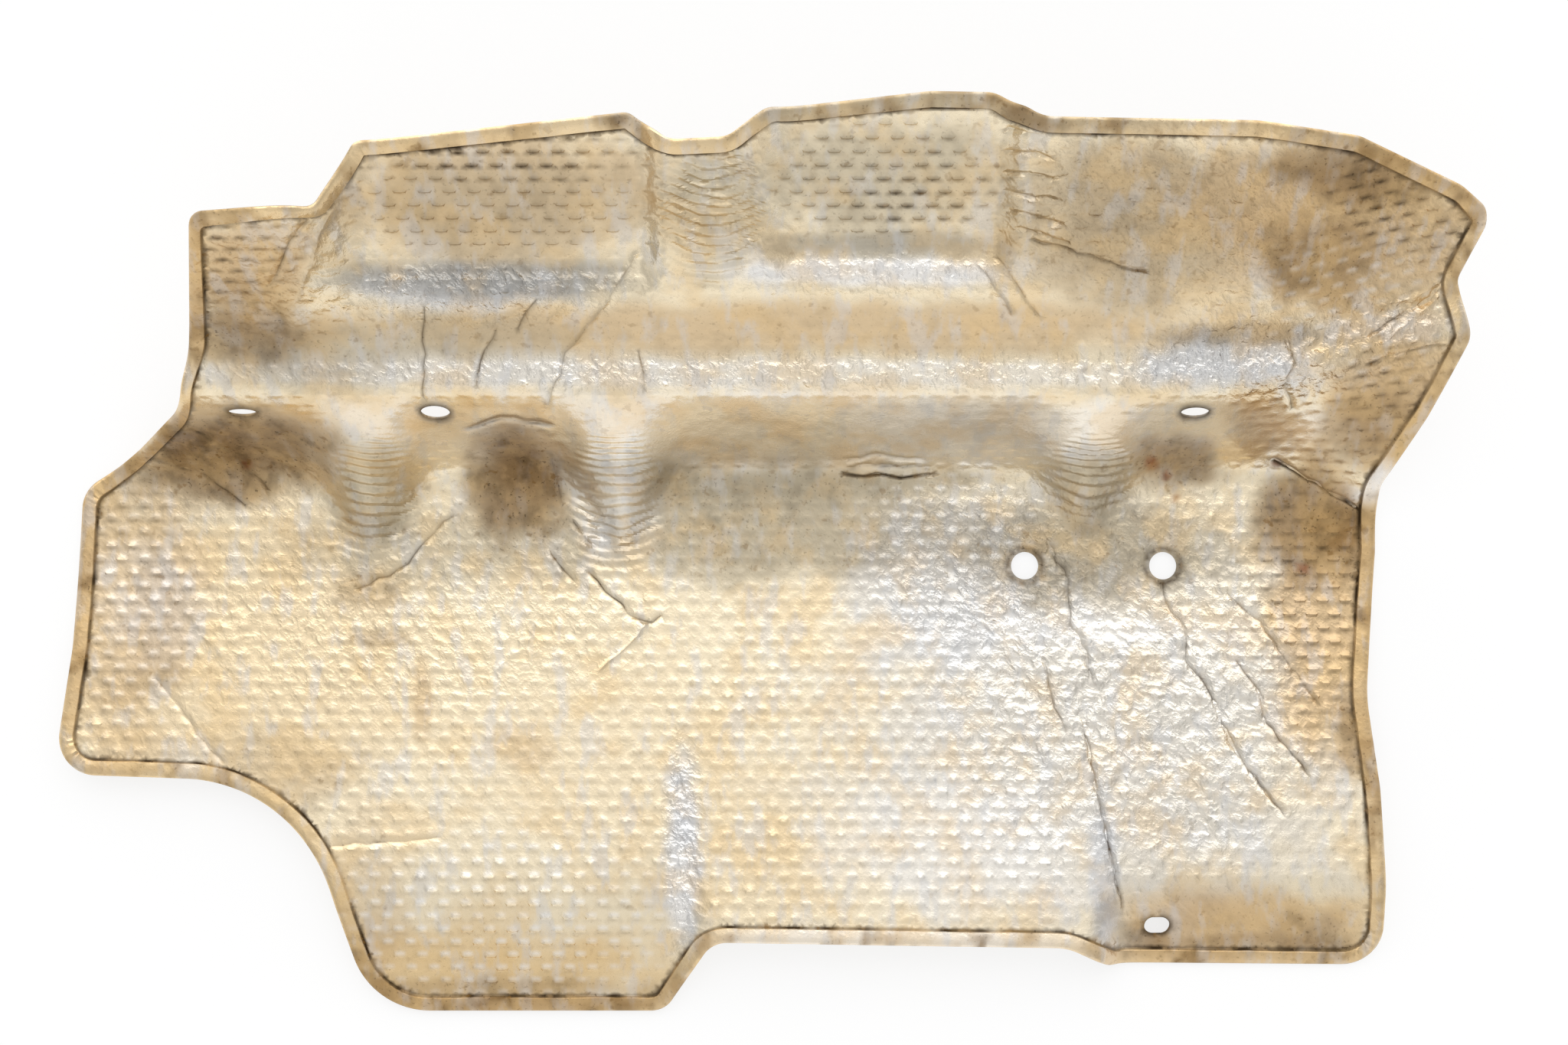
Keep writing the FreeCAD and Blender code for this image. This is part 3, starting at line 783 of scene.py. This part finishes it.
# Each row, a stain or painted light: its name, its colour, its middle and half sizes in photo pixels, and
# its amount.
STAINS_AND_PAINTED_LIGHT = (
    ("panel left", "gold", 330, 860, 230, 200, 0.35), ("panel middle", "gold", 720, 930, 230, 160, 0.15),
    ("panel low", "gold", 1000, 1100, 160, 120, 0.2), ("left wing rim", "tan", 165, 770, 100, 170, 0.6),
    ("left wing", "white", 190, 780, 80, 90, 0.35), ("wing corner", "tan", 170, 975, 70, 40, 0.35),
    ("lobe low", "gold", 650, 1260, 260, 60, 0.75), ("lobe rim", "brown", 650, 1298, 240, 24, 0.4),
    ("lobe left", "tan", 480, 1180, 50, 120, 0.5), ("lobe middle", "cream", 650, 1130, 190, 100, 0.6),
    ("right panel", "steel", 1440, 960, 340, 260, 0.55),
    ("right panel low", "white", 1250, 1110, 180, 90, 0.5),
    ("crumpled panel", "steel", 1250, 760, 150, 110, 0.7),
    # Painted highlight: the bolt pad's white rim. Painted shade: the grey band, its middle and the wall
    # foot.
    ("bolt pad rim", "white", 1440, 820, 180, 22, 0.6), ("grey band", "grey", 1000, 690, 330, 70, 0.75),
    ("grey band middle", "grey", 620, 720, 240, 50, 0.45), ("wall foot", "grey", 1010, 622, 330, 34, 0.75),
    ("bolt pad", "grey", 1428, 725, 170, 66, 0.85), ("pale band", "steel", 1442, 1130, 20, 120, 0.7),
    ("under the flap", "brown", 1752, 690, 50, 30, 0.8), ("flap end", "white", 1764, 646, 26, 13, 1.0),
    # Painted light: the white over the steep wall brightens it where it faces away from the bright room.
    ("steep wall", "white", 1050, 560, 760, 44, 0.85),
    ("steep wall tint", "cream", 1050, 560, 760, 44, 0.3),
    # Painted highlight: the ledge's white, on its rounded bend.
    ("steep wall left", "gold", 560, 545, 330, 34, 0.25), ("ledge", "white", 1000, 488, 760, 20, 0.5),
    ("ledge silver", "steel", 640, 480, 330, 26, 0.3), ("ledge right", "steel", 1610, 474, 120, 36, 0.8),
    # Painted shade: the slate band above the right end of the ledge.
    ("ledge right shade", "slate", 1650, 438, 120, 16, 0.8),
    # Painted highlight: the white on the folds by the notch.
    ("notch highlight", "white", 1815, 425, 70, 22, 0.6), ("ledge left", "grey", 400, 470, 130, 44, 0.5),
    ("upper wall", "tan", 1050, 430, 700, 34, 0.6), ("shoulder foot", "brown", 315, 440, 120, 44, 0.6),
    # Painted shade: shoulder shade, below the shoulder.
    ("shoulder", "tan", 325, 350, 90, 70, 0.75), ("shoulder shade", "brown", 300, 400, 80, 40, 0.25),
    ("left pocket", "tan", 640, 255, 220, 90, 0.6), ("left pocket middle", "grey", 640, 270, 190, 60, 0.35),
    # Painted shade: the slate over the left band.
    ("left band", "steel", 610, 375, 140, 34, 0.85), ("left band shade", "slate", 650, 364, 190, 28, 0.75),
    ("left wall", "grey", 600, 440, 170, 30, 0.45), ("rib", "grey", 930, 270, 66, 100, 0.5),
    # Painted highlight: the white pocket brim. Painted shade: the slate dark band just above it.
    ("pocket brim", "white", 1160, 356, 190, 20, 1.0), ("dark band", "slate", 1160, 320, 168, 18, 0.65),
    ("right pocket", "grey", 1160, 235, 165, 70, 0.5), ("right middle", "grey", 1480, 290, 150, 110, 0.75),
    ("right middle film", "tan", 1500, 300, 230, 120, 0.35), ("right end", "tan", 1740, 290, 200, 110, 0.7),
    ("right end rim", "tan", 1800, 330, 160, 140, 0.4), ("right end top", "brown", 1790, 225, 130, 46, 0.6),
    ("right end heart", "brown", 1730, 335, 90, 56, 0.45), ("right end low", "tan", 1825, 520, 95, 85, 0.8),
    # Painted shade: flap shade. The left and middle recess rows are dirt with painted shade of the hollows.
    ("flap shade", "brown", 1800, 560, 80, 50, 0.4), ("left recess", "brown", 305, 600, 130, 60, 0.8),
    ("left recess deep", "brown", 250, 585, 80, 40, 0.6), ("middle recess", "brown", 672, 635, 66, 78, 0.8),
    ("middle recess deep", "brown", 690, 610, 40, 50, 0.5),
    ("right recess", "brown", 1540, 600, 66, 40, 0.7), ("right edge", "tan", 1730, 800, 80, 190, 0.75),
    ("right corner", "brown", 1712, 690, 82, 80, 0.7), *(("rust spot", "rust", *spot) for spot in RUST),
    ("right edge low", "brown", 1770, 960, 26, 60, 0.6), ("left gusset", "grey", 490, 650, 56, 74, 0.5),
    ("middle gusset", "white", 803, 660, 60, 80, 0.5), ("right gusset", "grey", 1428, 630, 60, 50, 0.6),
    ("dent band", "steel", 893, 1100, 24, 135, 0.9), ("dent shine", "white", 890, 1170, 16, 70, 0.6),
    ("smudge by the crease", "brown", 485, 772, 46, 28, 0.35),
    ("smudge below", "brown", 500, 835, 42, 13, 0.4), ("hem curve", "brown", 350, 1010, 110, 56, 0.28),
    ("run mark", "tan", 552, 925, 16, 62, 0.5), ("smudge in the panel", "tan", 680, 975, 42, 30, 0.4),
    # Painted shade: wing shade.
    ("wing shade", "brown", 205, 815, 50, 110, 0.2), ("flange strip", "tan", 1620, 1205, 180, 46, 0.8),
    ("flange dirt", "brown", 1715, 1215, 50, 34, 0.35),
    ("flange corner", "brown", 1490, 1222, 34, 20, 0.45),
    ("flange edge", "brown", 1630, 1232, 150, 12, 0.35))
HEM_STAINS = (
    ("lobe hem", "tan", 660, 1300, 230, 40, 0.8), ("lobe hem dirt", "brown", 640, 1280, 270, 80, 0.18),
    ("lower hem", "white", 1160, 1230, 240, 30, 0.6), ("flange hem", "tan", 1620, 1250, 190, 30, 0.5),
    ("upper left hem", "tan", 250, 360, 40, 110, 0.6), ("upper right hem", "tan", 1850, 240, 130, 60, 0.5),
    ("top hem", "grey", 1200, 130, 460, 50, 0.65), ("right hem", "tan", 1790, 900, 50, 330, 0.35),
    ("left hem", "tan", 130, 800, 60, 260, 0.5), ("flap hem", "white", 1790, 625, 34, 34, 0.7))
# Painted shade, with some dirt, under the dimples' ridges; painted highlights on them; finely creased foil.
RIDGE_SHADE_AND_GRIME = (
    ("right pocket", 1160, 235, 160, 80, 0.55), ("right end", 1840, 255, 110, 90, 0.6),
    ("right flap", 1825, 510, 80, 80, 0.45), ("right edge", 1720, 790, 90, 210, 0.45),
    ("left band", 610, 372, 140, 34, 0.12), ("left pocket top", 650, 198, 210, 40, 0.8),
    ("shoulder", 320, 310, 90, 90, 0.6), ("left pocket", 640, 270, 200, 60, 0.2),
    ("left wing", 170, 760, 90, 150, 0.3), ("right middle", 1480, 260, 150, 90, 0.12),
    ("lobe", 660, 1215, 230, 80, 0.22), ("panel", 800, 950, 700, 250, 0.06))
DIMPLE_HIGHLIGHTS = (
    ("silver panel", 1250, 720, 130, 120, 0.45), ("panel", 750, 930, 420, 230, 0.12),
    ("left wing", 180, 800, 90, 160, 0.3), ("ledge", 1000, 488, 760, 26, 0.4),
    ("right panel", 1400, 950, 250, 200, 0.2), ("lobe", 660, 1190, 240, 110, 0.6),
    ("right end", 1760, 400, 140, 90, 0.35))
CREASED = (
    ("lower right", 1480, 880, 260, 260, 0.6), ("silver panel", 1260, 720, 130, 110, 0.8),
    ("ledge right", 1640, 465, 150, 48, 1.6), ("notch", 1800, 430, 90, 40, 1.0),
    ("right end", 1740, 350, 180, 150, 0.5), ("ledge", 1000, 486, 760, 28, 0.9),
    ("pocket brim", 1160, 360, 190, 30, 0.7), ("right upper", 1500, 270, 200, 120, 0.7),
    ("left band", 620, 385, 200, 44, 1.1), ("dent band", 892, 1100, 26, 140, 1.0),
    ("left recess", 300, 610, 140, 70, 0.4), ("shoulder", 330, 360, 100, 100, 0.5),
    ("panel left", 560, 790, 300, 130, 0.3))
print("stains", len(STAINS_AND_PAINTED_LIGHT), "on the hem", len(HEM_STAINS))

# %% [markdown]
# ## Laying the stains
# Heat and dirt came one after the other, so each stain covers a share of what lies under it. Painted shade,
# with some dirt, goes below the dimples' ridges and painted shade along the creases; painted highlights go
# on the dimples' upper slopes, darker rings round the holes and a darker line along the raw edge of the
# hem.

# %% Stain and painted light colours on the points
RAGGED, RAGGED_MM = 0.35, (19.0, 7.0)
# Marks in a dimple's cell: height, width and fade. Uneven shares: least, varying part, blob size in mm.
# Painted shade, with some dirt, goes below each dimple's ridge.
RIDGE_SHADE_MARK, RIDGE_SHADE_UNEVEN = (0.13, 0.30, 0.14), (0.3, 1.4, 13.0)
# Painted highlight on each dimple's upper slope: its place up the cell, then its mark.
HIGHLIGHT_AT, HIGHLIGHT_MARK = 0.6, (0.2, 0.3, 0.15)
# Painted shade along the creases: its half width in mm, then its uneven shares.
CREASE_SHADE_MM, CREASE_UNEVEN = 0.40, (0.5, 2.2, 6.0)
# Darker rings at the two washers and round the four plain holes: amount, distance out from the edge and
# width in mm.
HOLE_RINGS = 2 * ((0.75, 1.2, 1.3),) + 4 * ((0.85, 0.0, 1.3),)
HEM_GOLD, HEM_FILM, HEM_DIRT, SEAM_UNEVEN = 0.5, 0.6, 0.65, (0.35, 0.9, 6.0)
GRUBBY, GRUBBY_MM, GRUBBY_LESS = (1.6, 1.2), (9.0, 3.0), 1.3
FOIL_PLAIN, FOIL_WALL, FOIL_RANGE = 0.25, 0.8, (0.05, 1.5)


def linear(code):
    """Linear colour of an sRGB hex code."""
    v = np.array([int(code[i:i + 2], 16) for i in (0, 2, 4)]) / 255
    return np.where(v <= 0.04045, v / 12.92, ((v + 0.055) / 1.055) ** 2.4)


def lay(colour, share, chosen=slice(None)):
    """Cover a share of what lies on the chosen points with a stain's colour and its dirt."""
    share = np.clip(share, 0, 1)
    tint[chosen] += (linear(PALETTE[colour]) - tint[chosen]) * share[:, None]
    film[chosen] += (HIDES.get(colour, 0.0) - film[chosen]) * share


def uneven(least, vary, size, chosen=slice(None)):
    """Random share over the chosen points: a least share and a part that varies in blobs of one size."""
    return least + vary * noise(points[chosen, 0], points[chosen, 1], size)


def dimple_mark(at, tall, wide, fade):
    """Soft mark in every dimple's cell: a bell up the cell, ended at a width out from its middle line."""
    return bell((up_cell - at) / tall) * np.clip((wide - out_cell) / fade, 0, 1)


on_hem, on_front = np.arange(hem_base, back_base), np.arange(len(points)) < hem_base
at_x, at_y = points[:, 0], points[:, 1]
px, py = photo_place(at_x, at_y, points[:, 2])
up_cell, out_cell = cell_place(at_x, at_y)
warp_x = sum(noise(at_x, at_y, size) for size in RAGGED_MM) - 1
warp_y = sum(noise(at_y, at_x, size) for size in RAGGED_MM) - 1
tint = np.tile(linear(PALETTE["cream"]), (len(points), 1))
film = np.zeros(len(points))
for _, colour, cx, cy, rx, ry, amount in STAINS_AND_PAINTED_LIGHT:
    ragged_x, ragged_y = px + RAGGED * rx * warp_x, py + RAGGED * ry * warp_y
    lay(colour, amount * oval(ragged_x, ragged_y, cx, cy, rx, ry))
# Painted shade, with some dirt, below every dimple's ridge.
under = dimple_mark(FOOT, *RIDGE_SHADE_MARK) * on_front * uneven(*RIDGE_SHADE_UNEVEN)
lay("dark", under * patches(px, py, RIDGE_SHADE_AND_GRIME))
# Painted highlight on the upper slope of every dimple.
lay("white", dimple_mark(HIGHLIGHT_AT, *HIGHLIGHT_MARK) * patches(px, py, DIMPLE_HIGHLIGHTS))
broken = uneven(*CREASE_UNEVEN)
# Painted shade along each crease; the crease's last column sets how dark it is.
for _, line, _, _, dirt in CREASES:
    lay("dark", dirt * broken * bell(line_gap(px, py, line) / CREASE_SHADE_MM))
for hole, (amount, out, wide) in zip(holes, HOLE_RINGS):
    lay("dark", amount * bell((gap(at_x, at_y, hole) - out) / wide))
tint[on_hem] = (1 - HEM_GOLD) * tint[on_hem] + HEM_GOLD * linear(PALETTE["gold"])
film[on_hem] = HEM_FILM * film[on_hem]
for _, colour, cx, cy, rx, ry, amount in HEM_STAINS:
    lay(colour, amount * oval(px[on_hem], py[on_hem], cx, cy, rx, ry), on_hem)
grubby = sum(uneven(0.0, most, size, on_hem) for most, size in zip(GRUBBY, GRUBBY_MM)) - GRUBBY_LESS
lay("brown", HEM_DIRT * np.clip(grubby, 0, 1), on_hem)
# A darker line along the raw edge of the hem, on the face's edge and the hem's first row.
for row in rows[:2]:
    lay("dark", uneven(*SEAM_UNEVEN, row), row)
foil = FOIL_PLAIN + patches(px, py, CREASED) - FOIL_WALL * patches(px, py, FLAT[:1])
foil = np.clip(foil, *FOIL_RANGE)
layer = mesh.attributes.new("foil", "FLOAT", "POINT")
layer.data.foreach_set("value", foil.astype(np.float32))
layer = mesh.attributes.new("tint", "FLOAT_COLOR", "POINT")
layer.data.foreach_set("color", np.concatenate([tint, film[:, None]], 1).astype(np.float32).ravel())
print("mean dirt", film.mean().round(3), "mean foil", foil.mean().round(3))

# %% [markdown]
# ## The finish
# Heat-aged aluminium: still a metal, so it shows the room softly and darkens where it faces the dark;
# cream-gold where heat tinted it, grey-silver where it is rubbed, and dull brown where dirt lies on it and
# hides the metal. The painted shade and painted highlights on the points come in through the same tint and
# film. Fine specks and blotches come from noise at their real sizes, in millimetres.

# %% Material of the sheet
def node(tree, kind, sockets=None, **settings):
    """A shader node with its settings; a socket takes a constant, an output or a node's first output."""
    made = tree.nodes.new("ShaderNode" + kind)
    for name, value in settings.items():
        setattr(made, name, value)
    for socket, value in (sockets or {}).items():
        value = value.outputs[0] if isinstance(value, bpy.types.Node) else value
        if isinstance(value, bpy.types.NodeSocket):
            tree.links.new(value, made.inputs[socket])
        else:
            made.inputs[socket].default_value = value
    return made


# Layers over the stains: size across and along in mm, detail, noise levels, share on metal and on dirt.
LAYERS = (
    ("heat tint", "gold", 17.0, 17.0, 5.0, 0.48, 0.62, 0.36, 0.25),
    ("rubbed streaks", "steel", 6.0, 16.0, 5.0, 0.52, 0.64, 0.38, 0.0),
    ("metal through the dirt", "tan", 5.0, 5.0, 4.0, 0.52, 0.66, 0.0, 0.4),
    ("dried dirt", "dark", 7.0, 9.0, 6.0, 0.50, 0.66, 0.03, 0.55),
    ("spots", "brown", 4.0, 4.0, 5.0, 0.63, 0.70, 0.15, 0.8),
    ("specks", "dark", 1.2, 1.2, 3.0, 0.62, 0.70, 0.10, 0.75))
LAYER_TURN = 0.25
METAL_ROUGH, DIRT_ROUGH, DIRT_SHINE, DIRT_METAL = 0.24, 0.68, 0.2, 0.2
CRINKLE_MM, CRINKLE_LONG_MM, CRINKLE_TURN, CRINKLE_DEEP_MM = 3.8, 5.4, 0.8, 0.28
CRINKLE_DETAIL, CRINKLE_OFFSET, CRINKLE_GAIN = 4.0, 1.0, 1.5
GRAIN_MM, GRAIN_DEEP_MM, GRAIN_DETAIL = 1.1, 0.05, 2.0

aluminium = bpy.data.materials.new("heat_aged_aluminium")
aluminium.use_nodes = True
tree = aluminium.node_tree
place = node(tree, "TexCoord").outputs["Object"]
# The tint holds the stains and the painted shade and highlights laid on the points.
stain = node(tree, "Attribute", attribute_name="tint")
foil_here = node(tree, "Attribute", attribute_name="foil").outputs["Fac"]
tone, film_here = stain.outputs["Color"], stain.outputs["Alpha"]
# The share named dirt is the film, which painted shade lays as well as dirt; the dirt layers add to it.
dirt = film_here
for _, colour, across, along_mm, detail, low, high, on_metal, on_dirt in LAYERS:
    scale = (METRE / across, METRE / along_mm, METRE / along_mm)
    scaled = node(tree, "Mapping", {"Vector": place, "Rotation": (0, 0, LAYER_TURN), "Scale": scale})
    cloud = node(tree, "TexNoise", {"Vector": scaled, "Scale": 1.0, "Detail": detail})
    most = node(tree, "MapRange", {"Value": film_here, "To Min": on_metal, "To Max": on_dirt})
    share = node(tree, "MapRange", {"Value": cloud, "From Min": low, "From Max": high, "To Max": most})
    over = tuple(linear(PALETTE[colour])) + (1.0,)
    tone = node(tree, "Mix", {"Factor": share, 6: tone, 7: over}, data_type="RGBA").outputs[2]
    if colour in ("brown", "dark"):
        dirt = node(tree, "Math", {0: dirt, 1: share}, operation="MAXIMUM")
bare = node(tree, "MapRange", {"Value": dirt, "To Min": 1.0, "To Max": DIRT_METAL})
rough = node(tree, "MapRange", {"Value": dirt, "To Min": METAL_ROUGH, "To Max": DIRT_ROUGH})
scale = (CRINKLE_MM / METRE, CRINKLE_LONG_MM / METRE, CRINKLE_LONG_MM / METRE)
drawn_out = node(tree, "Mapping", {"Vector": place, "Rotation": (0, 0, CRINKLE_TURN), "Scale": scale},
                 vector_type="TEXTURE")
crinkles = node(tree, "TexNoise", {
    "Vector": drawn_out, "Scale": 1.0, "Detail": CRINKLE_DETAIL, "Offset": CRINKLE_OFFSET,
    "Gain": CRINKLE_GAIN}, noise_type="RIDGED_MULTIFRACTAL")
grain = node(tree, "TexNoise", {"Vector": place, "Scale": METRE / GRAIN_MM, "Detail": GRAIN_DETAIL})
bump = node(tree, "Bump", {"Height": crinkles, "Strength": foil_here, "Distance": CRINKLE_DEEP_MM / METRE})
bump = node(tree, "Bump", {
    "Height": grain, "Strength": 1.0, "Distance": GRAIN_DEEP_MM / METRE, "Normal": bump})
shader = tree.nodes["Principled BSDF"]
shader.inputs["Specular IOR Level"].default_value = DIRT_SHINE
for socket, source in (("Base Color", tone), ("Metallic", bare.outputs[0]),
                       ("Roughness", rough.outputs[0]), ("Normal", bump.outputs[0])):
    tree.links.new(source, shader.inputs[socket])
mesh.materials.append(aluminium)
print("finish nodes", len(tree.nodes))

# %% [markdown]
# ## Floor and light
# The photograph was cut out on white: no shadow is left. The floor is white for the camera and for
# reflections and keeps a faint shadow. The light is a soft room: brightest low down at the top of the
# picture, darker straight above, where the photographer stood.

# %% Studio
FLOOR_SIZE = 6.0
SHADOW_SHARE, PAPER_WHITE = 0.25, (0.95, 0.95, 0.95, 1)
ROOM_FRONT, ROOM_BACK, ROOM_LOW, ROOM_SIDE, WINDOW = 0.83, 1.15, 0.2, 0.3, 0.8

plane = bpy.data.meshes.new("floor")
half = 0.5 * FLOOR_SIZE
corners = [(-half, -half, 0), (half, -half, 0), (half, half, 0), (-half, half, 0)]
plane.from_pydata(corners, [], [(0, 1, 2, 3)])
floor = bpy.data.objects.new("floor", plane)
scene.collection.objects.link(floor)
paper = bpy.data.materials.new("white_paper")
paper.use_nodes = True
tree = paper.node_tree
tree.nodes.remove(tree.nodes["Principled BSDF"])
path = node(tree, "LightPath")
seen = path.outputs["Is Camera Ray"]
for ray in ("Is Glossy Ray", "Is Transmission Ray"):
    seen = node(tree, "Math", {0: seen, 1: path.outputs[ray]}, operation="MAXIMUM")
share = node(tree, "Math", {0: seen, 1: 1 - SHADOW_SHARE}, operation="MULTIPLY")
matt = node(tree, "BsdfDiffuse", {"Color": PAPER_WHITE})
glow = node(tree, "Emission", {"Strength": 1.0})
blend = node(tree, "MixShader", {0: share, 1: matt, 2: glow})
tree.links.new(blend.outputs[0], tree.nodes["Material Output"].inputs["Surface"])
plane.materials.append(paper)

world = bpy.data.worlds.new("soft_room")
scene.world = world
world.use_nodes = True
sky = world.node_tree
way = node(sky, "TexCoord").outputs["Generated"]
parts = node(sky, "SeparateXYZ", {0: way}).outputs
sideways = node(sky, "Math", {0: parts["X"]}, operation="ABSOLUTE")
# Each row: which way it is measured, from where to where, and the strength it starts and ends with.
ROOM = (("front to back", parts["Y"], -0.35, 0.55, ROOM_FRONT, ROOM_BACK),
        ("near the floor", parts["Z"], 0.75, 0.2, 0.0, ROOM_LOW),
        ("window", parts["Y"], 0.18, 0.6, 0.0, WINDOW), ("side walls", sideways, 0.2, 0.7, 0.0, -ROOM_SIDE))
strength = 0.0
for _, value, begin, end, first, last in ROOM:
    part = node(sky, "MapRange", {
        "Value": value, "From Min": begin, "From Max": end, "To Min": first, "To Max": last},
        interpolation_type="SMOOTHSTEP")
    strength = node(sky, "Math", {0: part, 1: strength}, operation="ADD")
watched = node(sky, "LightPath").outputs["Is Camera Ray"]
strength = node(sky, "Math", {0: strength, 1: watched}, operation="MAXIMUM")
sky.links.new(strength.outputs[0], sky.nodes["Background"].inputs["Strength"])
sky.nodes["Background"].inputs["Color"].default_value = (1, 1, 1, 1)
scene.view_settings.view_transform = "Standard"
print("room strength front", ROOM_FRONT, "back", ROOM_BACK)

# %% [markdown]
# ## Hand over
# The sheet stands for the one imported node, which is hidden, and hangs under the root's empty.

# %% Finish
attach(sheet, "root")
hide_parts("heat_shield")
